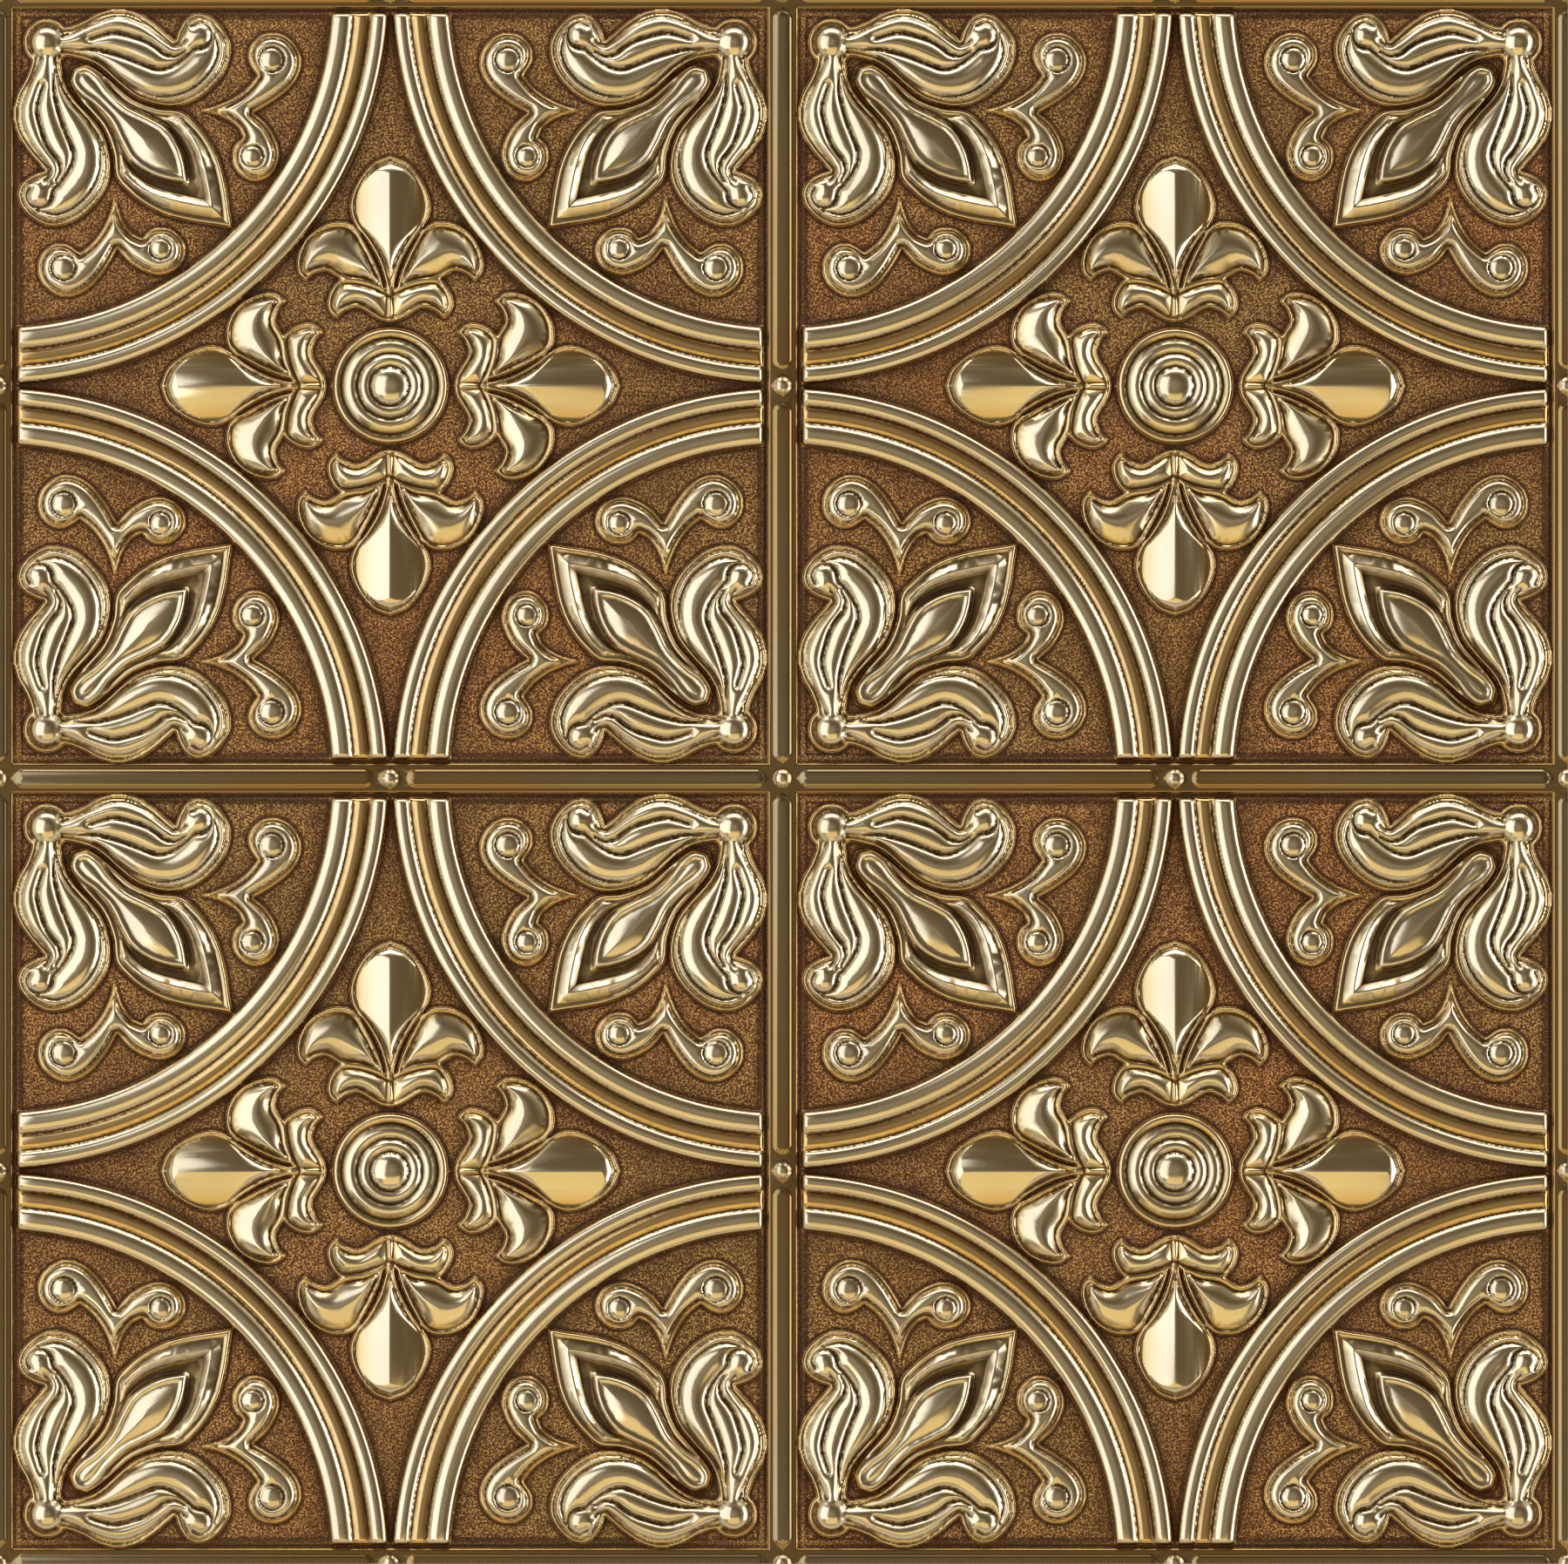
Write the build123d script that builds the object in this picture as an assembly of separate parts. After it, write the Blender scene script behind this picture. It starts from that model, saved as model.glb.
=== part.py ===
from build123d import *
import os

# Sheet
tile_side = 304.8
panels_per_side = 2
sheet = 0.3

# Border strips with their bars and beads
strip_half = 2.4
strip_foot = 3.3
strip_rise = 0.7
bar_half = 1.4
bar_crest = 0.6
bar_rise = 0.9
bar_gap = 3.4
bead_radius = 1.8
bead_rise = 1.1

# Quarter-round band about each panel corner: its inner radius and the widths of its two beads
# and of the lower bead between them, whose round top is left out
band_inner = 64.8
band_inner_bead = 4.4
band_middle_bead = 3.2
band_outer_bead = 3.5
band_rise = 1.6
band_middle_rise = 0.9
band_end = 3.7

# Rosette in the middle of a panel: widths from the flat of its dome out to its foot
rosette_dome = 1.8
rosette_dome_side = 4.5
rosette_ring_inside = 1.5
rosette_ring_outside = 2.1
rosette_rim_inside = 0.6
rosette_rim_outside = 0.8
rosette_rise = 2.6
rosette_step_rise = 1.0
rosette_ring_rise = 1.5
rosette_valley_rise = 0.45
rosette_rim_rise = 0.7

# Fleur on each axis of a panel: distances out from the panel's middle and off the axis
petal_half_outline = [(17.8, 0), (24.0, 2.3), (31.4, 7.0), (36.0, 7.9), (41.5, 5.4), (44.7, 0)]
petal_rise = 2.1
petal_eave = 1.2
side_petal_outline = [
    (18.6, 1.4),
    (27.3, 4.6),
    (31.8, 8.6),
    (29.6, 15.6),
    (24.6, 18.2),
    (20.4, 16.3),
    (22.2, 12.0),
    (20.4, 5.5),
]
side_petal_rise = 1.5
base_petal_half_outline = [(12.6, 2.2), (15.1, 6.2), (13.1, 10.2), (17.0, 12.3), (19.4, 8.5), (18.2, 2.5)]
base_petal_rise = 1.2

# Bud on each panel diagonal: distances from the crossing of the strips and off the diagonal
bud_half_outline = [(20.1, 0), (22.0, 2.8), (32.7, 4.1), (41.5, 9.0), (47.5, 9.4), (56.0, 6.2), (64.6, 0)]
bud_rise = 2.3
bud_eave = 1.2

# Knob, side leaf and sprig beside the bud: distances from the crossing along both strips
knob_middle = 9.3
knob_radius = 4.0
knob_rise = 2.2
leaf_outline = [
    (12.2, 6.6),
    (23.2, 3.9),
    (28.2, 4.6),
    (34.4, 9.1),
    (36.8, 4.6),
    (40.4, 3.8),
    (45.2, 10.0),
    (41.8, 18.4),
    (33.0, 22.0),
    (26.6, 20.2),
    (20.0, 14.7),
    (13.2, 12.4),
]
leaf_rise = 1.6
sprig_outline = [
    (39.9, 22.6),
    (49.6, 16.6),
    (48.6, 11.0),
    (53.4, 7.6),
    (58.6, 11.6),
    (57.2, 17.6),
    (50.2, 23.2),
    (54.4, 30.4),
    (51.2, 36.0),
    (45.6, 33.0),
    (46.4, 26.6),
]
sprig_rise = 1.3

# Run of the pressed sides for each millimetre of rise, facets of the small round forms,
# and the hollow that the press leaves behind the tallest forms
side_run = 0.8
round_sides = 8
wall = 0.5
flank = 1.5

# Worked out from the sizes above
pitch = tile_side / panels_per_side
half_panel = pitch / 2
reach = 2 * pitch
upright = (Align.CENTER, Align.CENTER, Align.MIN)
band_middle_inner = band_inner + band_inner_bead
band_middle_outer = band_middle_inner + band_middle_bead
band_outer = band_middle_outer + band_outer_bead
rosette_step = rosette_dome + rosette_dome_side
rosette_ring = rosette_step + rosette_ring_inside
rosette_valley = rosette_ring + rosette_ring_outside
rosette_rim = rosette_valley + rosette_rim_inside
rosette_radius = rosette_rim + rosette_rim_outside


def closed(points):
    """Flat face inside a ring of points."""
    return Face(Wire.make_polygon([Vector(*point) for point in points], close=True))


def inset(outline, amount, height):
    """Counter-clockwise outline moved inwards by the same amount on every side, and lifted."""
    corners = [Vector(*corner) for corner in outline]
    moved = []
    for before, here, after in zip(corners[-1:] + corners, corners, corners[1:] + corners[:1]):
        first = (here - before).normalized().rotate(Axis.Z, 90)
        second = (after - here).normalized().rotate(Axis.Z, 90)
        moved.append(here + (first + second) * (amount / (1 + first.dot(second))) + Vector(0, 0, height))
    return moved


def lump(outline, rise):
    """Form on the ground whose flat sides lean in from its outline to a flat top."""
    foot = inset(outline, 0, sheet)
    top = inset(outline, rise * side_run, sheet + rise)
    faces = [closed(foot[::-1]), closed(top)]
    for corner in range(len(outline)):
        faces.append(closed([foot[corner - 1], foot[corner], top[corner], top[corner - 1]]))
    return Solid(Shell(faces))


def round_lump(radius, rise):
    return lump([place.position for place in PolarLocations(radius, round_sides)], rise)


def twinned(half_outline):
    """Whole outline from the half on one side of the X axis."""
    twin = [(along, -off) for along, off in half_outline]
    return twin + [(along, off) for along, off in reversed(half_outline) if off > 0]


def ridged(half_outline, rise, eave):
    """Form along X whose two flat sides climb to a ridge on its axis."""
    half_width = max(off for along, off in half_outline)
    gable = [
        (-half_width, 0),
        (-half_width, sheet + eave),
        (0, sheet + rise),
        (half_width, sheet + eave),
        (half_width, 0),
    ]
    return lump(twinned(half_outline), rise) & extrude(Plane.YZ * closed(gable), reach, both=True)


def ridged_hollow(half_outline, rise):
    """Four-sided hollow behind a ridged form."""
    half_width = max(off for along, off in half_outline)
    middle = [along for along, off in half_outline if off == half_width][0]
    corners = [
        (half_outline[0][0] + 2 * flank, 0),
        (middle, half_width - 2 * flank),
        (half_outline[-1][0] - 2 * flank, 0),
        (middle, 2 * flank - half_width),
    ]
    return loft([closed(corners), Vertex(middle, 0, sheet + rise - 2 * wall)], ruled=True)


def turned(profile, angle):
    """Solid of revolution about Z from pairs of radius and rise above the ground."""
    return revolve(Plane.XZ * closed([(radius, sheet + rise) for radius, rise in profile]), Axis.Z, angle)


def band():
    profile = [
        (band_inner, 0),
        (band_inner + band_inner_bead / 2, band_rise),
        (band_middle_inner, band_middle_rise),
        (band_middle_outer, band_middle_rise),
        (band_middle_outer + band_outer_bead / 2, band_rise),
        (band_outer, 0),
    ]
    inside = Pos(band_end, band_end) * Box(reach, reach, reach, align=(Align.MIN, Align.MIN, Align.CENTER))
    return turned(profile, 90) & inside


def rosette():
    profile = [
        (0, 0),
        (rosette_radius, 0),
        (rosette_rim, rosette_rim_rise),
        (rosette_valley, rosette_valley_rise),
        (rosette_ring, rosette_ring_rise),
        (rosette_step, rosette_step_rise),
        (rosette_dome, rosette_rise),
        (0, rosette_rise),
    ]
    return turned(profile, 360)


def rosette_hollow():
    """Four-sided hollow behind the ring and dome."""
    side = rosette_ring * 2**0.5
    return loft([Rectangle(side, side), Vertex(0, 0, sheet + rosette_rise - wall)], ruled=True)


def panel_forms(corner_forms, axis_forms, middle_form):
    """Forms of one panel about its middle, four times round it."""
    forms = [middle_form]
    for quarter in range(4):
        turn = Rot(0, 0, 90 * quarter)
        forms += [turn * Pos(-half_panel, -half_panel) * form for form in corner_forms]
        forms += [turn * form for form in axis_forms]
    return forms


def border_strip(foot, crest, base, top):
    """Long bank of trapezoid section along Y."""
    profile = [(-foot, base), (-crest, top), (crest, top), (foot, base)]
    return extrude(Plane.XZ * closed(profile), reach, both=True)


def bar():
    length = half_panel - 2 * bar_gap
    foot = Rectangle(2 * bar_half, length)
    crest = Rectangle(2 * bar_crest, length - 2 * (bar_half - bar_crest))
    return Pos(0, half_panel / 2, sheet + strip_rise) * loft([foot, Pos(0, 0, bar_rise) * crest], ruled=True)


def bead():
    return Pos(0, 0, strip_rise) * round_lump(bead_radius, bead_rise)


def border_lines():
    """Places of the strips, along both axes."""
    offsets = [line * pitch - tile_side / 2 for line in range(panels_per_side + 1)]
    return [turn * Pos(offset, 0) for turn in (Rot(0, 0, 0), Rot(0, 0, 90)) for offset in offsets]


def border():
    """Strips along every panel side, with a bar between each two beads."""
    forms = []
    halves = range(-panels_per_side, panels_per_side)
    for line in border_lines():
        forms.append(line * border_strip(strip_foot, strip_half, sheet, sheet + strip_rise))
        forms += [line * Pos(0, step * half_panel) * bar() for step in halves]
        forms += [line * Pos(0, step * half_panel) * bead() for step in halves if step % 2]
    corners = GridLocations(pitch, pitch, panels_per_side + 1, panels_per_side + 1)
    return forms + [corner * bead() for corner in corners]


def border_hollow():
    ceiling = sheet + strip_rise - wall
    return [line * border_strip(strip_foot - wall, strip_half - wall, 0, ceiling) for line in border_lines()]


to_diagonal = Rot(0, 0, 45)
diagonal = Plane(origin=(0, 0, 0), z_dir=(1, -1, 0))
leaf = lump(leaf_outline, leaf_rise)
sprig = lump(sprig_outline, sprig_rise)
side_petal = lump(side_petal_outline, side_petal_rise)
corner_forms = [
    band(),
    to_diagonal * ridged(bud_half_outline, bud_rise, bud_eave),
    Pos(knob_middle, knob_middle) * round_lump(knob_radius, knob_rise),
    leaf,
    mirror(leaf, about=diagonal),
    sprig,
    mirror(sprig, about=diagonal),
]
axis_forms = [
    ridged(petal_half_outline, petal_rise, petal_eave),
    side_petal,
    mirror(side_petal, about=Plane.XZ),
    lump(twinned(base_petal_half_outline), base_petal_rise),
]
corner_hollows = [to_diagonal * ridged_hollow(bud_half_outline, bud_rise)]
axis_hollows = [ridged_hollow(petal_half_outline, petal_rise)]

relief = border()
hollows = border_hollow()
for place in GridLocations(pitch, pitch, panels_per_side, panels_per_side):
    relief += [place * form for form in panel_forms(corner_forms, axis_forms, rosette())]
    hollows += [place * form for form in panel_forms(corner_hollows, axis_hollows, rosette_hollow())]

ground = Box(tile_side, tile_side, sheet, align=upright)
cut_edge = Box(tile_side, tile_side, reach, align=upright)
embossed_sheet = (ground.fuse(*relief) & cut_edge).cut(*hollows)
embossed_sheet.label = "embossed_sheet"

os.makedirs("parts", exist_ok=True)
export_step(embossed_sheet, "parts/embossed_sheet.step")
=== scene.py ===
import math

import bpy
import numpy as np
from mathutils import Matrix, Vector


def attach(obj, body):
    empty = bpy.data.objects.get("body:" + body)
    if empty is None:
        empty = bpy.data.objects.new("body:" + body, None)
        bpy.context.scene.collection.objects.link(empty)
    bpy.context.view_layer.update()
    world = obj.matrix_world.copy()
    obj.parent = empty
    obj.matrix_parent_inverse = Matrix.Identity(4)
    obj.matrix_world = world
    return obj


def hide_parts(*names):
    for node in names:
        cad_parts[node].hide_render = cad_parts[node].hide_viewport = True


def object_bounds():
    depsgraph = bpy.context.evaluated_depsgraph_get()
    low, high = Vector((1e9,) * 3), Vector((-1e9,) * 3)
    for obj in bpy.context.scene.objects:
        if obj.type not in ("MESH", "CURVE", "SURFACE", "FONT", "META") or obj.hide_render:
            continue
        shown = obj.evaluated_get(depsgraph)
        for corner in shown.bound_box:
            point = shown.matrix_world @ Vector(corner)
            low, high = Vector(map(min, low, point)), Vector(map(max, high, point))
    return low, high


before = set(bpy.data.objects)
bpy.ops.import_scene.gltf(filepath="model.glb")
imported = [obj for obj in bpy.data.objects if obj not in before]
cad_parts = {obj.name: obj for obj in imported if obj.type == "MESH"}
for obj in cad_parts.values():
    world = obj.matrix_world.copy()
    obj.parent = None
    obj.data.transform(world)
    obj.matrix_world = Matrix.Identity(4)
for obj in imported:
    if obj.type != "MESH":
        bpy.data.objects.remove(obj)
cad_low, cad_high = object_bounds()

# Sheet: lengths of the tile are in millimetres, and MM makes them metres
MM = 0.001
TILE = (cad_high[0] - cad_low[0]) / MM
PANELS = 2
PITCH = TILE / PANELS
HALF = PITCH / 2
SHEET = 0.3

# Grid over a quarter panel, from the panel's corner to its middle
WANTED_STEP = 0.2
STEPS = int(round(HALF / WANTED_STEP)) + 1
GRID = HALF / (STEPS - 1)
grid_u, grid_v = np.meshgrid(np.linspace(0, HALF, STEPS), np.linspace(0, HALF, STEPS))

# Mesh of a quarter panel: triangles kept, pull of its sides on points close by, and weld at its seams
FRONT_TRIANGLES = 45500
BACK_TRIANGLES = 2200
SIDE_PULL = 0.3 * GRID
WELD = 0.001

# Small values that keep divisions and the last grid cell in bounds
TINY = 1e-6
SPECK = 1e-12
EDGE_CELL = 1.001

# Points on each stretch of a smooth line, and the widest distance that the forms below ask for
CURVE_STEPS = 12
MARGIN = 16.0

# Press: softening of its edges, width of a blur in reaches, and how far the back lags behind the front
SOFTEN = 0.15
BLUR_REACHES = 3
BACK_REACH = 0.4

# Crevice that the press leaves in the ground along the foot of every form
GROUND_LIMIT = 0.03
CREVICE_DEPTH = 0.18
CREVICE_WIDTH = 0.38

# Patina and painted shade left in the hollows: reach of the hollow, and where it starts and is full; and
# painted shade on the strips, which spares the beads
PATINA_AND_SHADE_REACH = 0.75
PATINA_AND_SHADE_START = 0.02
PATINA_AND_SHADE_FULL = 0.22
PAINTED_SHADE_STRIP = 3.1
PAINTED_SHADE_ON_STRIP = 0.58
STRIP_SHADE_MAX_RISE = 1.2

# Border strip with its bars and beads, measured from its centre line
STRIP = ((0, 0.7), (2.7, 0.68), (3.0, 0.1), (3.2, 0.0), (3.9, 0.14), (4.6, 0.0))
BAR_HALF = 1.7
BAR_SHAPE = ((0.0, 0.42), (1.3, 0.38), (1.5, 0.28), (1.7, 0.0))
BAR_GAP = 3.4
BEAD_RADIUS = 1.6
BEAD_RISE = 0.8
TRIM_HALF = 2.5

# Band about each panel corner: inner and outer radius of each bead, its base and its rise
BAND_BEADS = ((64.7, 69.2, 0.45, 1.45), (69.2, 72.4, 0.55, 0.75), (72.4, 75.9, 0.45, 1.45))
BAND_END = 3.6
BAND_END_ROUND = 1.3

# Rosette in the middle of a panel: rise at each radius
ROSETTE = (
    (0.0, 1.1),
    (3.8, 1.1),
    (4.4, 1.6),
    (5.0, 1.8),
    (5.6, 1.55),
    (6.3, 0.85),
    (7.0, 1.4),
    (7.6, 1.6),
    (8.2, 1.4),
    (9.4, 0.6),
    (9.9, 0.95),
    (10.4, 1.15),
    (10.9, 0.95),
    (11.4, 0.0),
)
ROSETTE_DOME = 3.7
ROSETTE_DOME_BASE = 1.0
ROSETTE_DOME_RISE = 1.75

# Rim that runs round every leaf and petal: rise at each depth inside its outline
RIM = ((0.0, 0.0), (0.25, 0.75), (0.5, 1.0), (0.8, 0.75), (1.1, 0.45))
RIM_INSIDE = RIM[-1][0]
RIM_FLOOR = RIM[-1][1]

# Fleur on the lower axis of the quarter panel, from the panel corner
PETAL_BULGE = 1.7
MAIN_PETAL = (
    (
        (76.2, 31.5), (73.0, 32.7), (70.6, 35.2), (68.9, 38.4), (68.3, 41.6), (69.2, 44.8),
        (71.7, 48.2), (74.0, 52.4), (75.6, 58.0),
    ),
    ((75.6, 58.0), (76.2, 58.4)),
)
MAIN_RISE = 2.4
MAIN_SLOPE = 0.32
MAIN_SAG = 0.008
MAIN_SHOULDER = 1.3
SIDE_PETAL = (
    (
        (75.4, 58.2), (74.0, 53.6), (71.8, 48.9), (69.4, 45.2), (66.0, 44.2), (62.2, 45.3),
        (59.4, 47.9), (58.0, 51.6), (58.3, 54.4), (59.7, 56.0),
    ),
    ((59.7, 56.0), (61.6, 54.5), (63.8, 54.0), (66.3, 55.4), (68.6, 56.0), (71.4, 56.4), (75.4, 58.2)),
)
SIDE_CREST = (
    (59.9, 53.4), (61.5, 51.1), (63.5, 50.0), (65.6, 49.9), (68.2, 50.8), (70.7, 52.5),
    (72.6, 54.6), (74.4, 57.2),
)
SIDE_RISE = 2.0
BASE_PETAL = (
    (
        (76.2, 57.6), (73.6, 56.4), (70.0, 55.4), (66.6, 55.4), (64.6, 57.6), (63.9, 60.3),
        (64.6, 62.3), (65.9, 63.2),
    ),
    ((65.9, 63.2), (67.6, 61.7), (69.8, 61.1), (72.0, 62.2), (74.2, 63.5), (76.2, 63.9)),
)
BASE_CREST = ((66.0, 60.8), (66.9, 59.2), (68.8, 58.2), (71.0, 58.4), (73.4, 59.8), (76.2, 61.4))
BASE_RISE = 1.6
BASE_PINCH = ((0.0, 1.1), (0.25, 1.0), (0.6, 0.5), (1.0, 0.85), (1.8, 1.35), (2.4, 1.6))

# Corner leaf beside the diagonal, from the panel corner: outline, valleys between its lobes, curl and knob
LEAF = (
    (
        (10.2, 6.9), (12.6, 6.6), (14.4, 6.2), (16.6, 5.3), (19.6, 3.7), (23.2, 2.9), (27.0, 3.6),
        (30.8, 5.9), (34.4, 9.1),
    ),
    (
        (34.4, 9.1), (35.3, 6.6), (36.8, 4.6), (39.3, 3.8), (42.2, 5.0), (44.6, 8.0), (45.3, 11.4),
        (44.0, 15.5), (40.8, 19.2), (36.8, 21.5), (32.4, 22.0), (27.4, 20.6), (23.6, 17.9),
        (20.0, 14.7), (16.8, 13.0), (13.4, 12.3), (10.2, 12.1),
    ),
    ((10.2, 12.1), (10.2, 6.9)),
)
VALLEYS = (
    (
        (12.6, 8.4), (14.0, 7.9), (18.5, 5.9), (23.5, 4.5), (28.5, 6.1), (33.0, 9.5), (35.0, 10.3),
        (36.4, 9.2),
    ),
    (
        (18.0, 8.9), (20.0, 8.2), (23.0, 7.7), (28.0, 9.0), (30.5, 10.3), (32.5, 11.8), (34.5, 12.2),
        (36.5, 11.3),
    ),
    (
        (12.6, 10.8), (16.0, 11.0), (19.0, 11.0), (22.0, 11.6), (25.0, 12.5), (28.0, 13.7),
        (31.0, 14.7), (33.5, 14.3), (36.0, 12.8), (38.3, 10.8),
    ),
    ((38.3, 10.8), (40.4, 10.3), (41.6, 8.6), (41.1, 6.6), (39.4, 5.7), (37.7, 6.4)),
    (
        (16.0, 12.4), (19.6, 13.4), (23.0, 16.0), (26.8, 18.6), (30.6, 19.9), (34.6, 19.8),
        (38.6, 18.0), (41.6, 14.8), (42.9, 11.4), (42.2, 7.9),
    ),
)
VALLEY_RISE = 0.55
LOBE_RISE = 2.3
LOBE_HALF = 3.3
CURL_EYE = (39.4, 7.9)
CURL_RADIUS = 1.7
CURL_RISE = 2.0
KNOB = (9.5, 9.5)
KNOB_RADIUS = 3.4
KNOB_RISE = 2.6
KNOB_FOOT = ((0.0, 0.6), (3.6, 0.55), (4.05, 0.8), (4.35, 0.6), (4.6, 0.0))

# Bud on the diagonal: half outlines from its root to its tip
BUD = (
    (14.2, 14.2), (17.6, 13.6), (21.4, 16.2), (26.0, 20.2), (31.0, 22.2), (35.6, 22.8), (38.8, 25.4),
    (41.5, 29.0), (43.4, 33.2), (44.5, 38.0), (45.1, 42.0), (45.7, 45.7),
)
BUD_RIDGE = (
    (14.4, 14.4), (17.5, 14.0), (20.8, 16.2), (24.4, 19.8), (28.6, 21.9), (33.4, 23.5), (36.7, 26.2),
    (38.7, 29.4), (40.0, 33.2), (41.0, 37.6), (41.7, 41.7),
)
BUD_RIDGE_RISE = 2.1
BUD_GROOVE_RISE = 0.75
BUD_VALLEY_RISE = 0.8
BUD_RIM = ((0.0, 0.0), (0.3, 0.8), (0.65, 1.1), (1.0, 0.95), (1.4, 0.7))
BUD_INNER_FLANK = 0.9
INNER_BUD = (
    (14.6, 14.6), (17.2, 14.0), (19.8, 15.6), (22.4, 19.0), (25.4, 21.7), (29.4, 23.7), (33.0, 25.9),
    (35.4, 29.4), (36.7, 33.2), (37.2, 37.2),
)
INNER_PROFILE = (
    (0.0, 0.8),
    (0.35, 1.5),
    (0.8, 2.1),
    (1.2, 2.2),
    (1.6, 1.9),
    (1.9, 1.85),
    (2.3, 2.05),
    (4.5, 2.55),
)

# Sprig beside the bud: one outline for its two scrolls, which end in balls
SPRIG = (
    ((38.9, 22.7), (42.2, 21.8), (45.4, 20.4), (48.2, 18.4), (50.3, 15.9)),
    (
        (50.3, 15.9), (48.9, 13.8), (48.5, 11.6), (49.3, 9.6), (51.1, 8.1), (53.6, 7.6), (56.3, 8.5),
        (58.2, 10.6), (59.0, 13.2), (58.4, 15.9), (56.6, 18.5), (53.6, 20.9), (49.7, 23.2),
    ),
    (
        (49.7, 23.2), (52.2, 25.4), (53.9, 28.2), (54.7, 31.2), (54.0, 34.0), (52.2, 35.9),
        (49.7, 36.5), (47.3, 35.6), (45.7, 33.5), (45.4, 31.2), (46.1, 29.2), (47.5, 28.0),
    ),
    ((47.5, 28.0), (46.6, 26.2), (44.6, 24.6), (42.0, 23.5), (38.9, 22.7)),
)
SCROLL_PROFILE = (
    (0.0, 0.0),
    (0.2, 0.6),
    (0.4, 0.8),
    (0.7, 0.6),
    (0.9, 0.55),
    (1.1, 0.95),
    (1.4, 1.4),
    (1.8, 1.72),
    (2.3, 1.85),
    (3.0, 1.95),
)
SCROLL_BALLS = ((53.3, 12.9, 2.4), (49.6, 31.7, 2.1))
BALL_GROOVE = 0.15
BALL_BASE = 1.15
BALL_RISE = 0.95

# Lacquer: stretches of height above the ground over which each part of it comes or goes
RAISED_HEIGHTS = (0.05, 0.3)
CREST_HEIGHTS = (0.2, 1.6)
CREVICE_HEIGHTS = (-0.1, -0.01)
STIPPLE_HEIGHTS = (0.1, 0.5)

# Scale, detail and roughness of each pattern in the lacquer
STIPPLE = (2700.0, 1.0, 0.6)
DOTS = (1250.0, 0.0, 0.5)
BLOTCHES = (45.0, 1.0, 0.5)
BROAD_TINT = (14.0, 2.0, 0.5)

# Display colours of the lacquer along each pattern, and the tints that multiply those of the ground
GROUND_COLOURS = ((0.34, (0.33, 0.19, 0.11)), (0.5, (0.55, 0.37, 0.23)), (0.66, (0.95, 0.77, 0.48)))
GROUND_TINTS = ((0.36, (0.93, 1.02, 0.96)), (0.64, (1.10, 0.96, 0.93)))
METAL_COLOURS = ((0.0, (0.80, 0.62, 0.36)), (0.45, (0.90, 0.81, 0.62)), (1.0, (0.93, 0.88, 0.77)))

# Dark line painted in the crevices, partly patina and partly painted shade at the foot of the forms, and the
# dots that break it
CREVICE_PATINA_AND_SHADE_COLOUR = (0.20, 0.115, 0.06)
CREVICE_SHADE = 0.85
DOTS_SPAN = (0.54, 0.64)
DOTS_SHADE = 0.3

# Coats painted by place, with the full strength and the colour of each, and blotches over all; the dark coat
# is patina and painted shade in the hollows and painted shade on the strips
COATS = (("gilt", 0.65, (0.90, 0.73, 0.43)), ("patina_and_shade", 0.92, (0.26, 0.145, 0.06)))
BLOTCH_COLOUR = (0.55, 0.40, 0.22)
BLOTCH_SPAN = (0.35, 0.7)
BLOTCH_SHADE = 0.12

# Shine of the ground and of the raised metal
WHOLE = (0.0, 1.0)
METALLIC_SPAN = (0.55, 1.0)
ROUGHNESS_SPAN = (0.45, 0.15)
BLOTCH_ROUGHNESS = 0.08
BUMP_STRENGTH = 0.8
BUMP_DISTANCE = 0.35

# Floor, in metres
FLOOR_SIZE = 6.0
FLOOR_MOTTLE = (12.0, 4.0, 0.5)
FLOOR_COLOURS = ((0.3, (0.83, 0.82, 0.80)), (0.7, (0.87, 0.86, 0.84)))
FLOOR_ROUGHNESS = 0.8

# Light of the room from its walls to overhead, by the upward part of the direction
ROOM = (
    (0.0, (0.72, 0.65, 0.53)),
    (0.35, (0.58, 0.51, 0.39)),
    (0.6, (0.22, 0.175, 0.115)),
    (0.8, (0.11, 0.075, 0.036)),
    (0.93, (0.16, 0.125, 0.085)),
    (1.0, (0.3, 0.255, 0.185)),
)
BOUNCES = 3
SOFT_BOUNCES = 2

# Soft boxes: direction from the tile, size in metres, brightness and colour of each, and their distance
SOFT_BOXES = (
    ("left_box", (-1.0, 0.1, 1.1), (1.9, 1.3), 1.28, (0.93, 0.97, 1.0)),
    ("near_box", (0.0, -1.0, 1.2), (1.6, 0.9), 0.8, (1.0, 0.79, 0.37)),
    ("right_box", (1.0, 0.0, 0.34), (1.8, 0.6), 2.3, (1.0, 0.99, 0.97)),
    ("far_box", (0.0, 1.0, 0.34), (1.8, 0.5), 2.1, (1.0, 0.99, 0.97)),
)
BOX_DISTANCE = 1.5

# Photograph: millimetres across its width, and where the middle of the tile sits in it, in pixels
PHOTO_WIDTH = 304.6
PHOTO_SIZE = (1800, 1795)
TILE_MIDDLE = (898.5, 893.3)
LENS = 200.0
SENSOR = 36.0


def curve(points):
    """Smooth line through given points."""
    placed = np.array(points, float)
    if len(placed) == 2:
        return placed
    placed = np.vstack([2 * placed[0] - placed[1], placed, 2 * placed[-1] - placed[-2]])
    share = np.linspace(0, 1, CURVE_STEPS, endpoint=False)[:, None]
    pieces = []
    for before, start, end, after in zip(placed[:-3], placed[1:-2], placed[2:-1], placed[3:]):
        straight = (end - before) * share
        bend = (2 * before - 5 * start + 4 * end - after) * share**2
        twist = (3 * start - before - 3 * end + after) * share**3
        pieces.append(0.5 * (2 * start + straight + bend + twist))
    return np.vstack(pieces + [placed[-2:-1]])


def outline(stretches):
    """Closed line made of smooth stretches that meet at corners."""
    return np.vstack([curve(stretch)[:-1] for stretch in stretches])


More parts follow.
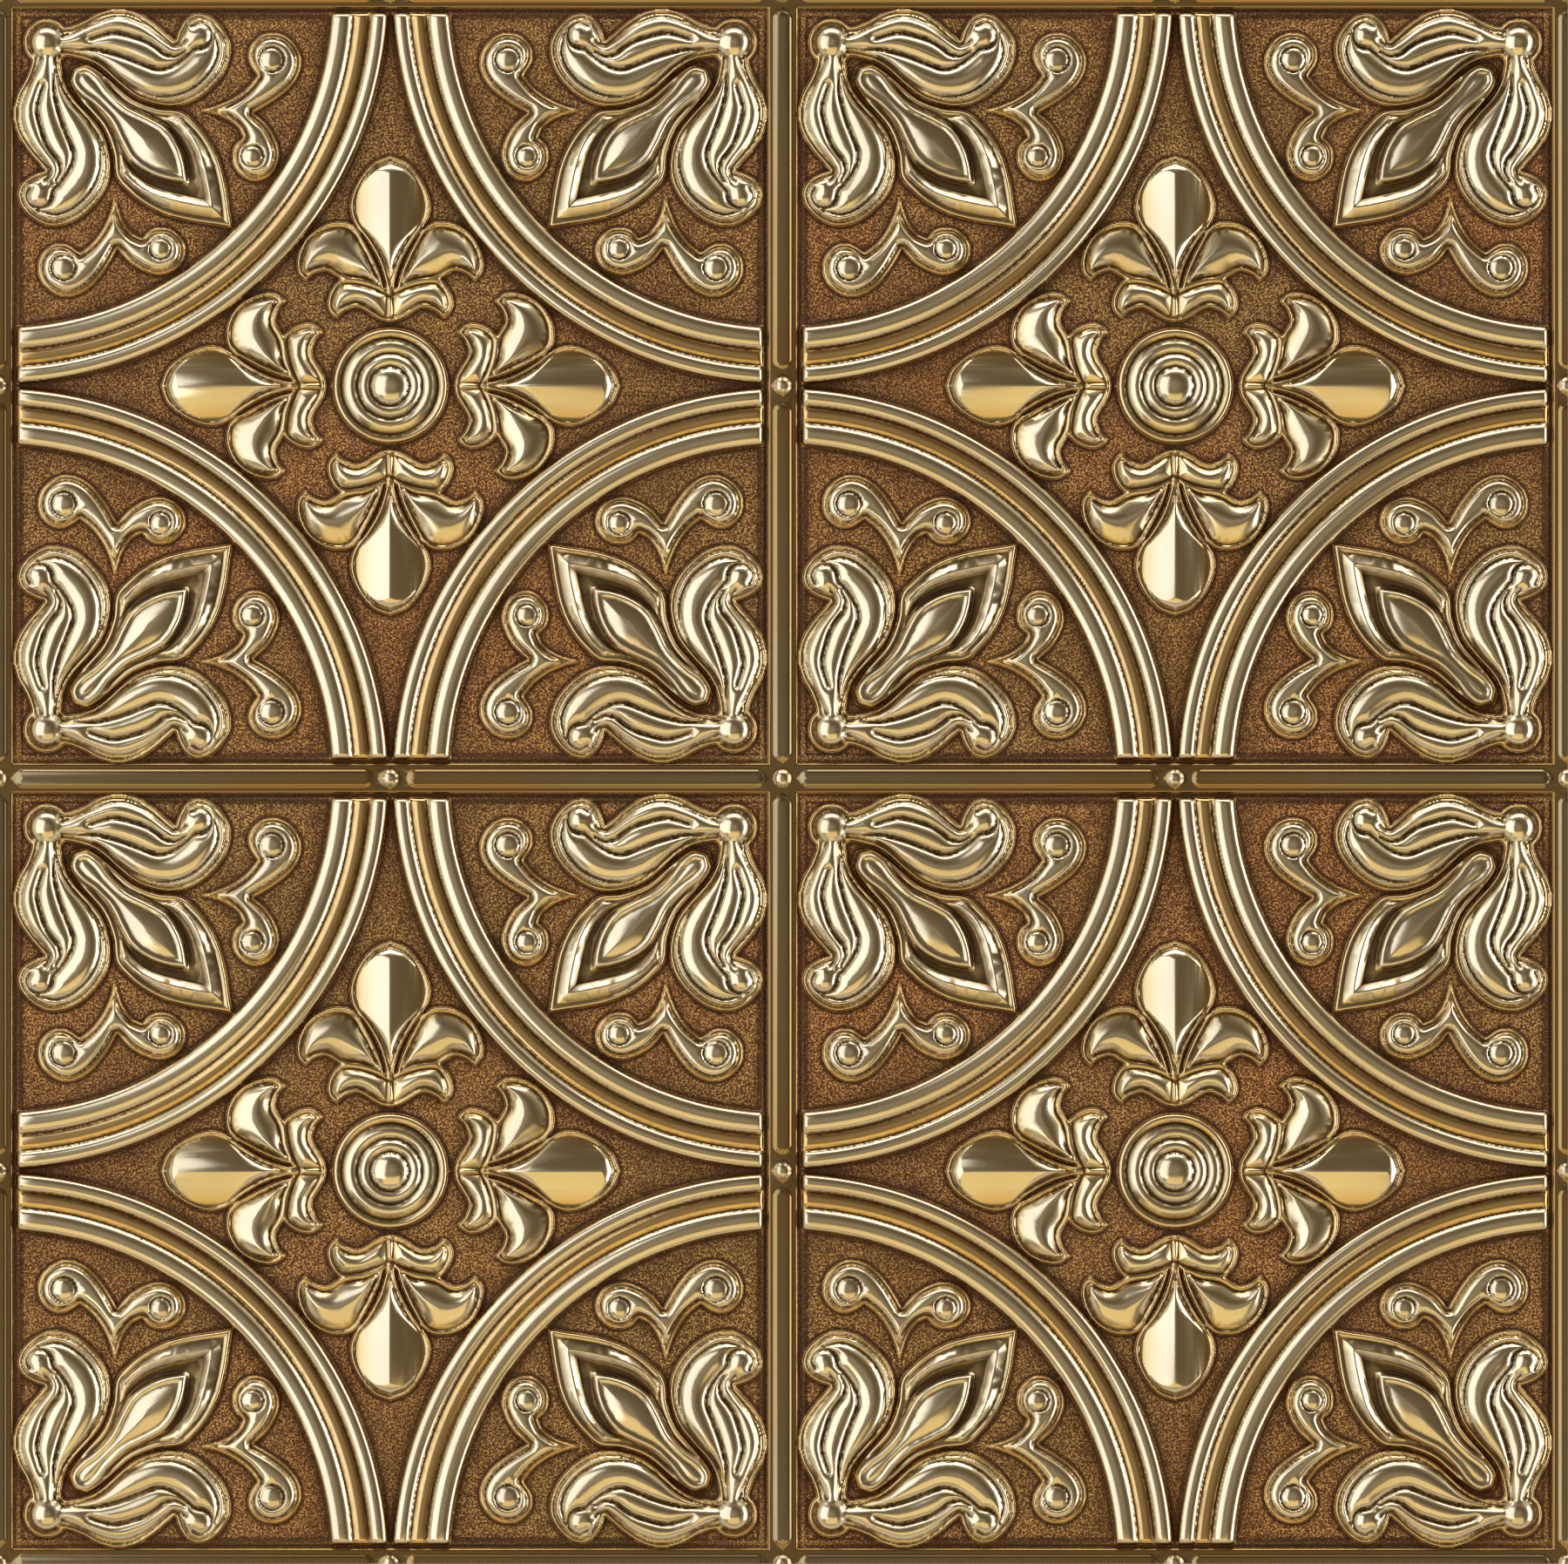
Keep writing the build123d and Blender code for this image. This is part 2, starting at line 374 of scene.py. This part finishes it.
def twinned(half):
    """Closed line made of a half outline and its twin across the diagonal."""
    side = curve(half)
    return np.vstack([side[:-1], side[::-1, ::-1][:-1]])


def across(half):
    """Closed line made of an outline that starts and ends on the axis and its twin beyond the axis."""
    twin = half[::-1].copy()
    twin[:, 0] = 2 * HALF - twin[:, 0]
    return np.vstack([half, twin[1:]])


def window(line):
    """Part of the grid round a line, with a margin for what lies close to it."""
    first = np.clip(((line.min(axis=0) - MARGIN) / GRID).astype(int), 0, None)
    last = ((line.max(axis=0) + MARGIN) / GRID).astype(int) + 2
    return slice(first[1], last[1]), slice(first[0], last[0])


def near(line, closed):
    """Distance to a line at every grid point in its window; far points are a margin away."""
    part = window(line)
    u, v = grid_u[part], grid_v[part]
    ends = np.roll(line, -1, axis=0) if closed else line[1:]
    best = np.full(u.shape, MARGIN**2)
    for start, end in zip(line, ends):
        step = end - start
        along = (u - start[0]) * step[0] + (v - start[1]) * step[1]
        share = np.clip(along / max(step @ step, SPECK), 0, 1)
        best = np.minimum(best, (u - start[0] - share * step[0]) ** 2 + (v - start[1] - share * step[1]) ** 2)
    gap = np.full(grid_u.shape, MARGIN)
    gap[part] = np.sqrt(best)
    return gap


def depth(line):
    """Distance inside a closed line, negative outside it."""
    part = window(line)
    u, v = grid_u[part], grid_v[part]
    inside = np.zeros(u.shape, bool)
    for start, end in zip(line, np.roll(line, -1, axis=0)):
        crosses = (start[1] > v) != (end[1] > v)
        climb = end[1] - start[1] if end[1] != start[1] else SPECK
        inside ^= crosses & (u < start[0] + (v - start[1]) / climb * (end[0] - start[0]))
    sign = np.full(grid_u.shape, -1.0)
    sign[part] = np.where(inside, 1.0, -1.0)
    return sign * near(line, True)


def profile(distance, stops):
    """Rise read from a list of distance and rise pairs."""
    return np.interp(distance, [stop[0] for stop in stops], [stop[1] for stop in stops])


def dome(distance, radius, rise):
    """Round cap."""
    return rise * np.sqrt(np.clip(1 - (distance / radius) ** 2, 0, 1))


def from_point(point):
    """Distance from one point at every grid point."""
    return np.hypot(grid_u - point[0], grid_v - point[1])


def petal(shape, crest, rise):
    """Rimmed petal whose bulging flanks climb to a crest line."""
    inside = depth(shape)
    edge = np.clip(inside - RIM_INSIDE, 0, None)
    share = edge / (edge + near(curve(crest), False) + TINY)
    body = RIM_FLOOR + (rise - RIM_FLOOR) * (1 - (1 - share) ** PETAL_BULGE)
    return np.where(inside > RIM_INSIDE, body, profile(inside, RIM))


def main_petal():
    """Rimmed petal with two slightly hollow flanks that meet in a sharp ridge on the axis."""
    inside = depth(across(outline(MAIN_PETAL)))
    off = np.abs(grid_u - HALF)
    flank = MAIN_RISE - MAIN_SLOPE * off + MAIN_SAG * off**2
    shoulder = RIM_FLOOR + MAIN_SHOULDER * np.sqrt(np.clip(inside - RIM_INSIDE, 0, None))
    return np.where(inside > RIM_INSIDE, np.minimum(flank, shoulder), profile(inside, RIM))


def side_petal():
    """Curved petal beside the main one."""
    return petal(outline(SIDE_PETAL), SIDE_CREST, SIDE_RISE)


def base_petals():
    """Two rimmed petals that meet on the axis in a pinch with a thin stem."""
    pair = petal(across(outline(BASE_PETAL)), BASE_CREST, BASE_RISE)
    return np.minimum(pair, profile(np.abs(grid_u - HALF), BASE_PINCH))


def border():
    """Strip, bars and beads along one side of the quarter panel."""
    first = BAR_GAP + BAR_HALF
    last = HALF - BAR_GAP - BAR_HALF
    bars = profile(np.hypot(grid_u - np.clip(grid_u, first, last), grid_v), BAR_SHAPE)
    corner_bead = dome(from_point((0, 0)), BEAD_RADIUS, BEAD_RISE)
    side_bead = dome(from_point((HALF, 0)), BEAD_RADIUS, BEAD_RISE)
    trim = np.maximum.reduce([bars, corner_bead, side_bead])
    return profile(grid_v, STRIP) + np.where(grid_v < TRIM_HALF, trim, 0)


def band():
    """Three round beads about the panel corner, rounded off where they meet the strips."""
    radius = from_point((0, 0))
    rise = np.zeros(grid_u.shape)
    for inner, outer, base, height in BAND_BEADS:
        share = np.abs(radius - (inner + outer) / 2) / ((outer - inner) / 2)
        rise = np.maximum(rise, np.where(share < 1, base + dome(share, 1, height), 0))
    end = np.clip((np.minimum(grid_u, grid_v) - BAND_END) / BAND_END_ROUND, 0, 1)
    return rise * np.sqrt(1 - (1 - end) ** 2)


def rosette():
    """Rings about a round dome."""
    radius = from_point((HALF, HALF))
    cap = ROSETTE_DOME_BASE + dome(radius, ROSETTE_DOME, ROSETTE_DOME_RISE)
    return np.where(radius < ROSETTE_DOME, cap, profile(radius, ROSETTE))


def leaf():
    """Rimmed leaf of rounded lobes that meet in narrow valleys and roll up into a curl."""
    inside = depth(outline(LEAF))
    gap = np.clip(inside - RIM_INSIDE, 0, None)
    for valley in VALLEYS:
        gap = np.minimum(gap, near(curve(valley), False))
    swell = np.sqrt(1 - (1 - np.clip(gap / LOBE_HALF, 0, 1)) ** 2)
    lobes = VALLEY_RISE + (LOBE_RISE - VALLEY_RISE) * swell
    curl = dome(from_point(CURL_EYE), CURL_RADIUS, CURL_RISE)
    return np.maximum(np.where(inside > RIM_INSIDE, lobes, profile(inside, RIM)), curl)


def knob():
    """Round knob at the root of the leaves, with a rim about its foot."""
    gap = from_point(KNOB)
    return np.maximum(dome(gap, KNOB_RADIUS, KNOB_RISE), profile(gap, KNOB_FOOT))


def bud():
    """Outer lobe with a rim, a groove and a ridge, and an inner bud that lies in its hollow."""
    inside = depth(twinned(BUD))
    past_ridge = depth(twinned(BUD_RIDGE))
    to_rim = np.clip(inside - BUD_RIM[-1][0], 0, None)
    share = to_rim / (to_rim + np.abs(past_ridge) + TINY)
    slope = BUD_GROOVE_RISE + (BUD_RIDGE_RISE - BUD_GROOVE_RISE) * share
    hollow = np.maximum(BUD_RIDGE_RISE - BUD_INNER_FLANK * past_ridge, BUD_VALLEY_RISE)
    lobe = np.where(past_ridge > 0, np.minimum(hollow, BUD_GROOVE_RISE + to_rim), slope)
    lobe = np.where(inside > BUD_RIM[-1][0], lobe, profile(inside, BUD_RIM))
    inner = depth(twinned(INNER_BUD))
    return np.maximum(lobe, np.where(inner > 0, profile(inner, INNER_PROFILE), 0))


def sprig():
    """Rimmed sprig whose two scrolls wind about a ball."""
    rise = profile(depth(outline(SPRIG)), SCROLL_PROFILE)
    for u, v, radius in SCROLL_BALLS:
        gap = from_point((u, v))
        rise = np.where(gap < radius + BALL_GROOVE, np.minimum(rise, BALL_BASE), rise)
        rise = np.where(gap < radius, BALL_BASE + dome(gap, radius, BALL_RISE), rise)
    return rise


def shifted(field, axis, most):
    """The field moved along one axis by each number of grid steps, mirrored at the borders."""
    wide = np.pad(field, [(most, most) if side == axis else (0, 0) for side in (0, 1)], mode="reflect")
    count = field.shape[axis]
    return [np.take(wide, range(first, first + count), axis=axis) for first in range(2 * most + 1)]


def soften(field, reach):
    """Blur of the field over a reach."""
    most = int(math.ceil(BLUR_REACHES * reach / GRID))
    weights = np.exp(-0.5 * (np.arange(-most, most + 1) * GRID / reach) ** 2)
    weights /= weights.sum()
    for axis in (0, 1):
        field = sum(weight * moved for weight, moved in zip(weights, shifted(field, axis, most)))
    return field


def lowest_near(field, reach):
    """Lowest value of the field within a reach."""
    most = int(round(reach / GRID))
    for axis in (0, 1):
        field = np.minimum.reduce(shifted(field, axis, most))
    return field


def relief():
    """Rise above the ground over the quarter panel."""
    side = np.maximum.reduce([border(), leaf(), sprig(), main_petal(), side_petal(), base_petals()])
    rise = np.maximum.reduce([side, side.T, band(), rosette(), knob(), bud()])
    ground = rise < GROUND_LIMIT
    # A blur of the forms is about one half at their feet, so its double is full there
    at_foot = np.clip(2 * soften(np.where(ground, 0.0, 1.0), CREVICE_WIDTH), 0, 1)
    return soften(np.where(ground, rise - CREVICE_DEPTH * at_foot, rise), SOFTEN)


def mesh_from(name, points, faces):
    """Mesh of triangles."""
    mesh = bpy.data.meshes.new(name)
    mesh.vertices.add(len(points))
    mesh.vertices.foreach_set("co", np.asarray(points, np.float32).ravel())
    mesh.loops.add(3 * len(faces))
    mesh.loops.foreach_set("vertex_index", np.asarray(faces, np.int32).ravel())
    mesh.polygons.add(len(faces))
    mesh.polygons.foreach_set("loop_start", np.arange(0, 3 * len(faces), 3, dtype=np.int32))
    mesh.update(calc_edges=True)
    return mesh


def thinned(mesh, ratio):
    """Points and triangles of a mesh after a share of its triangles is kept."""
    whole = bpy.data.objects.new(mesh.name, mesh)
    bpy.context.scene.collection.objects.link(whole)
    decimate = whole.modifiers.new("thin", "DECIMATE")
    decimate.ratio = ratio
    decimate.use_collapse_triangulate = True
    result = whole.evaluated_get(bpy.context.evaluated_depsgraph_get()).to_mesh()
    points = np.empty(len(result.vertices) * 3)
    result.vertices.foreach_get("co", points)
    faces = np.empty(len(result.loops), int)
    result.loops.foreach_get("vertex_index", faces)
    bpy.data.objects.remove(whole)
    bpy.data.meshes.remove(mesh)
    return points.reshape(-1, 3), faces.reshape(-1, 3)


def triangles_of(field, wanted):
    """Quarter-panel surface with about the wanted number of triangles, as points and faces."""
    points = np.stack([grid_u.ravel(), grid_v.ravel(), field.ravel()], axis=1)
    index = np.arange(field.size).reshape(field.shape)
    corner, right = index[:-1, :-1].ravel(), index[:-1, 1:].ravel()
    opposite, above = index[1:, 1:].ravel(), index[1:, :-1].ravel()
    lower = np.stack([corner, right, opposite], axis=1)
    upper = np.stack([corner, opposite, above], axis=1)
    faces = np.vstack([lower, upper])
    points, faces = thinned(mesh_from("quarter", points, faces), wanted / len(faces))
    for column in (0, 1):
        for limit in (0, HALF):
            points[np.abs(points[:, column] - limit) < SIDE_PULL, column] = limit
    return points, faces


def slopes_at(field, points):
    """Upward normals of the smooth surface at some of its points."""
    u = np.clip(points[:, 0] / GRID, 0, STEPS - EDGE_CELL)
    v = np.clip(points[:, 1] / GRID, 0, STEPS - EDGE_CELL)
    row, column = v.astype(int), u.astype(int)
    up, over = v - row, u - column
    normals = np.ones((len(points), 3))
    slope_v, slope_u = np.gradient(field, GRID)
    for side, slope in enumerate((slope_u, slope_v)):
        low_row = (1 - over) * slope[row, column] + over * slope[row, column + 1]
        high_row = (1 - over) * slope[row + 1, column] + over * slope[row + 1, column + 1]
        at_side = (points[:, side] == 0) | (points[:, side] == HALF)
        normals[:, side] = np.where(at_side, 0, -(1 - up) * low_row - up * high_row)
    return normals / np.linalg.norm(normals, axis=1)[:, None]


def mirrored(points, faces, normals):
    """The quarter panel mirrored into a whole panel about its middle and welded along its seams."""
    all_points, all_faces, all_normals = [], [], []
    for side_x in (-1, 1):
        for side_y in (-1, 1):
            signs = np.array([side_x, side_y, 1])
            turned = faces if side_x * side_y > 0 else faces[:, ::-1]
            all_faces.append(turned + len(points) * len(all_points))
            all_points.append((points - (HALF, HALF, 0)) * signs)
            all_normals.append(normals * signs)
    whole = np.vstack(all_points)
    keys = np.round(whole / WELD).astype(np.int64)
    _, first, where = np.unique(keys, axis=0, return_index=True, return_inverse=True)
    return whole[first], where.ravel()[np.vstack(all_faces)], np.vstack(all_normals)[first]


def side_walls(top, bottom):
    """Faces that close the sides of a panel between the front and the back of the sheet."""
    faces = []
    for column, limit, turn in ((0, -HALF, 1), (0, HALF, -1), (1, -HALF, -1), (1, HALF, 1)):
        along = 1 - column
        rows = []
        for points in (top, bottom):
            at_side = np.nonzero(np.abs(points[:, column] - limit) < TINY)[0]
            rows.append(at_side[np.argsort(points[at_side, along])])
        upper, lower = rows
        high = low = 0
        while high < len(upper) - 1 or low < len(lower) - 1:
            step_high = low == len(lower) - 1
            if high < len(upper) - 1 and not step_high:
                step_high = top[upper[high + 1], along] <= bottom[lower[low + 1], along]
            if step_high:
                face = (upper[high], upper[high + 1], lower[low] + len(top))
                high += 1
            else:
                face = (upper[high], lower[low + 1] + len(top), lower[low] + len(top))
                low += 1
            faces.append(face[::turn])
    return np.array(faces)


def wall_normals(points, walls):
    """Normals of the flat side walls, one for each corner of their faces."""
    first, second, third = (points[walls[:, corner]] for corner in range(3))
    outward = np.cross(second - first, third - first)
    outward /= np.linalg.norm(outward, axis=1)[:, None] + SPECK
    return np.repeat(outward, 3, axis=0)


def from_corner(points):
    """How far points of a whole panel lie from its nearest corner along both sides."""
    return HALF - np.abs(points[:, :2])


def patina_and_shade_at(field, points):
    """How far each point lies in a hollow of the relief, from none to all of the patina and painted shade,
    with painted shade on the flat strips.
    """
    hollow = np.clip((soften(field, PATINA_AND_SHADE_REACH) - field - PATINA_AND_SHADE_START) / PATINA_AND_SHADE_FULL, 0, 1)
    # Painted shade that darkens the flat border strips, with the beads left out
    on_strip = (np.minimum(grid_u, grid_v) < PAINTED_SHADE_STRIP) & (field < STRIP_SHADE_MAX_RISE)
    hollow = np.maximum(hollow, np.where(on_strip, PAINTED_SHADE_ON_STRIP, 0))
    column, row = np.clip(np.round(from_corner(points) / GRID).astype(int), 0, STEPS - 1).T
    return hollow[row, column]


def gilt_at(points):
    """One on the middle bead of the bands, none elsewhere."""
    radius = np.hypot(*from_corner(points).T)
    inner, outer = BAND_BEADS[1][:2]
    return np.where((radius > inner) & (radius < outer), 1.0, 0.0)


def panel_surface():
    """Points, faces, corner normals and coats of one closed panel about its middle."""
    rise = relief()
    back = np.maximum(lowest_near(rise, BACK_REACH), 0)
    front_points, front_faces = triangles_of(SHEET + rise, FRONT_TRIANGLES)
    back_points, back_faces = triangles_of(back, BACK_TRIANGLES)
    back_points[:, 2] = np.clip(back_points[:, 2], 0, None)
    top, top_faces, top_normals = mirrored(front_points, front_faces, slopes_at(rise, front_points))
    bottom, bottom_faces, bottom_normals = mirrored(back_points, back_faces, slopes_at(back, back_points))
    walls = side_walls(top, bottom)
    points = np.vstack([top, bottom])
    faces = np.vstack([top_faces, bottom_faces[:, ::-1] + len(top), walls])
    normals = np.vstack([top_normals, -bottom_normals])[faces.ravel()]
    normals[-3 * len(walls):] = wall_normals(points, walls)
    bare = np.zeros(len(bottom))
    coats = {
        "patina_and_shade": np.concatenate([patina_and_shade_at(rise, top), bare]),
        "gilt": np.concatenate([gilt_at(top), bare]),
    }
    return points, faces, normals.tolist(), coats


def embossed_panels():
    """The four panels of the sheet, in the tile's frame."""
    points, faces, normals, coats = panel_surface()
    panels = []
    for row in range(PANELS):
        for column in range(PANELS):
            middle = ((column + 0.5) * PITCH - TILE / 2, (row + 0.5) * PITCH - TILE / 2, 0)
            name = f"embossed_panel_{row}_{column}"
            mesh = mesh_from(name, (points + middle) * MM, faces)
            mesh.polygons.foreach_set("use_smooth", np.ones(len(faces), bool))
            mesh.normals_split_custom_set(normals)
            for coat, amounts in coats.items():
                layer = mesh.attributes.new(coat, "FLOAT", "POINT")
                layer.data.foreach_set("value", amounts.astype(np.float32))
            panel = bpy.data.objects.new(name, mesh)
            bpy.context.scene.collection.objects.link(panel)
            panels.append(panel)
    return panels


def linear(colour):
    """Scene-linear colour from a display colour."""
    return tuple(c / 12.92 if c <= 0.04045 else ((c + 0.055) / 1.055) ** 2.4 for c in colour) + (1.0,)


def display(stops):
    """Stops of a ramp from places and display colours."""
    return [(place, linear(colour)) for place, colour in stops]


def fill_ramp(ramp, stops):
    """Stops set in rising order on a ramp that starts with two."""
    for number, (place, colour) in enumerate(stops):
        element = ramp.elements[number] if number < 2 else ramp.elements.new(place)
        element.position = place
        element.color = (*colour[:3], 1.0)


def above_ground(heights):
    """Stretch of height above the ground, in metres above the tile's back."""
    return [(SHEET + height) * MM for height in heights]


class Shader:
    """Short way to add and link nodes of one material."""

    # Sockets of the mix node that take and give colours
    FIRST_COLOUR = 6
    SECOND_COLOUR = 7
    MIXED_COLOUR = 2

    def __init__(self, name):
        self.material = bpy.data.materials.new(name)
        self.material.use_nodes = True
        self.tree = self.material.node_tree
        self.surface = self.tree.nodes["Principled BSDF"]
        self.place = self.node("ShaderNodeTexCoord").outputs["Object"]

    def node(self, kind, inputs=(), **settings):
        made = self.tree.nodes.new(kind)
        for key, value in settings.items():
            setattr(made, key, value)
        for key, value in dict(inputs).items():
            self.put(made.inputs[key], value)
        return made

    def put(self, socket, value):
        if isinstance(value, bpy.types.NodeSocket):
            self.tree.links.new(value, socket)
        else:
            socket.default_value = value

    def set_surface(self, name, value):
        self.put(self.surface.inputs[name], value)

    def noise(self, pattern):
        scale, detail, roughness = pattern
        inputs = {"Vector": self.place, "Scale": scale, "Detail": detail, "Roughness": roughness}
        return self.node("ShaderNodeTexNoise", inputs).outputs["Fac"]

    def ramp(self, value, stops):
        made = self.node("ShaderNodeValToRGB", {"Fac": value})
        fill_ramp(made.color_ramp, stops)
        return made.outputs["Color"]

    def spread(self, value, span, to_span=WHOLE):
        inputs = {"Value": value, "From Min": span[0], "From Max": span[1]}
        inputs.update({"To Min": to_span[0], "To Max": to_span[1]})
        return self.node("ShaderNodeMapRange", inputs, interpolation_type="SMOOTHSTEP").outputs["Result"]

    def mix(self, factor, first, second, blend="MIX"):
        inputs = {"Factor": factor, self.FIRST_COLOUR: first, self.SECOND_COLOUR: second}
        made = self.node("ShaderNodeMix", inputs, data_type="RGBA", blend_type=blend)
        return made.outputs[self.MIXED_COLOUR]

    def maths(self, operation, first, second):
        return self.node("ShaderNodeMath", {0: first, 1: second}, operation=operation).outputs[0]


def ground_colour(shader, height, stipple):
    """Stippled brown of broadly changing tint, with a broken dark line of patina and painted shade in the
    crevices.
    """
    speckled = shader.ramp(stipple, display(GROUND_COLOURS))
    tint = shader.ramp(shader.noise(BROAD_TINT), GROUND_TINTS)
    tinted = shader.mix(1.0, speckled, tint, "MULTIPLY")
    # Painted shade, with some patina, that darkens the crevices along the foot of every form
    crevice_patina_and_shade = shader.spread(height, above_ground(CREVICE_HEIGHTS), (CREVICE_SHADE, 0.0))
    breaks = shader.spread(shader.noise(DOTS), DOTS_SPAN, (1.0, DOTS_SHADE))
    return shader.mix(shader.maths("MULTIPLY", crevice_patina_and_shade, breaks), tinted, linear(CREVICE_PATINA_AND_SHADE_COLOUR))


def bronzed_tin():
    """Lacquered tinplate: brown stippled ground, bronze hollows with patina and painted shade, and bright
    champagne gold crests.
    """
    shader = Shader("bronzed_tin")
    height = shader.node("ShaderNodeSeparateXYZ", {0: shader.place}).outputs["Z"]
    raised = shader.spread(height, above_ground(RAISED_HEIGHTS))
    crest = shader.spread(height, above_ground(CREST_HEIGHTS))
    stipple = shader.noise(STIPPLE)
    blotch = shader.noise(BLOTCHES)

    metal = shader.ramp(crest, display(METAL_COLOURS))
    colour = shader.mix(raised, ground_colour(shader, height, stipple), metal)
    # The dark coat is patina with painted shade in the hollows, and painted shade on the border strips
    for coat, strength, tone in COATS:
        amount = shader.node("ShaderNodeAttribute", attribute_name=coat).outputs["Fac"]
        colour = shader.mix(shader.maths("MULTIPLY", amount, strength), colour, linear(tone))
    stain = shader.spread(blotch, BLOTCH_SPAN, (0.0, BLOTCH_SHADE))
    shader.set_surface("Base Color", shader.mix(stain, colour, linear(BLOTCH_COLOUR)))

    shader.set_surface("Metallic", shader.spread(raised, WHOLE, METALLIC_SPAN))
    dulled = shader.maths("MULTIPLY", blotch, BLOTCH_ROUGHNESS)
    shader.set_surface("Roughness", shader.maths("ADD", shader.spread(raised, WHOLE, ROUGHNESS_SPAN), dulled))

    fading = shader.spread(height, above_ground(STIPPLE_HEIGHTS), (1.0, 0.0))
    lumps = shader.maths("MULTIPLY", stipple, fading)
    bump = {"Height": lumps, "Strength": BUMP_STRENGTH, "Distance": BUMP_DISTANCE * MM}
    shader.set_surface("Normal", shader.node("ShaderNodeBump", bump).outputs["Normal"])
    return shader.material


def floor_material():
    """Pale, faintly mottled floor."""
    shader = Shader("studio_floor")
    shader.set_surface("Base Color", shader.ramp(shader.noise(FLOOR_MOTTLE), display(FLOOR_COLOURS)))
    shader.set_surface("Roughness", FLOOR_ROUGHNESS)
    return shader.material


def floor():
    """Floor that the tile lies on."""
    bpy.ops.mesh.primitive_plane_add(size=FLOOR_SIZE, location=(0, 0, 0))
    plane = bpy.context.object
    plane.name = "floor"
    plane.data.materials.append(floor_material())
    return plane


def soft_box(name, direction, size, brightness, colour):
    """Soft box of even brightness that faces the middle of the tile."""
    data = bpy.data.lights.new(name, "AREA")
    data.shape = "RECTANGLE"
    data.size, data.size_y = size
    data.energy = brightness * math.pi * size[0] * size[1]
    data.color = colour
    lamp = bpy.data.objects.new(name, data)
    way = Vector(direction).normalized()
    lamp.location = way * BOX_DISTANCE
    lamp.rotation_euler = way.to_track_quat("Z", "Y").to_euler()
    bpy.context.scene.collection.objects.link(lamp)


def studio():
    """Room that is dark overhead and pale at its walls, with four soft boxes."""
    world = bpy.data.worlds.new("studio")
    world.use_nodes = True
    nodes, links = world.node_tree.nodes, world.node_tree.links
    way = nodes.new("ShaderNodeTexCoord")
    split = nodes.new("ShaderNodeSeparateXYZ")
    room = nodes.new("ShaderNodeValToRGB")
    fill_ramp(room.color_ramp, ROOM)
    links.new(way.outputs["Generated"], split.inputs[0])
    links.new(split.outputs["Z"], room.inputs["Fac"])
    links.new(room.outputs["Color"], nodes["Background"].inputs["Color"])
    bpy.context.scene.world = world
    bpy.context.scene.cycles.max_bounces = BOUNCES
    bpy.context.scene.cycles.glossy_bounces = SOFT_BOUNCES
    bpy.context.scene.cycles.diffuse_bounces = SOFT_BOUNCES
    for box in SOFT_BOXES:
        soft_box(*box)


def camera():
    """Long lens straight above the tile, framed like the photograph."""
    scale = PHOTO_WIDTH / PHOTO_SIZE[0]
    aim_x = (PHOTO_SIZE[0] / 2 - TILE_MIDDLE[0]) * scale
    aim_y = (TILE_MIDDLE[1] - PHOTO_SIZE[1] / 2) * scale
    data = bpy.data.cameras.new("camera")
    data.lens = LENS
    data.sensor_width = SENSOR
    eye = bpy.data.objects.new("camera", data)
    eye.location = (aim_x * MM, aim_y * MM, PHOTO_WIDTH * MM * LENS / SENSOR)
    bpy.context.scene.collection.objects.link(eye)
    bpy.context.scene.camera = eye


tin = bronzed_tin()
for panel in embossed_panels():
    panel.data.materials.append(tin)
    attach(panel, "root")
    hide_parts("embossed_sheet")
floor()
studio()
camera()
bpy.context.scene.view_settings.view_transform = "Standard"
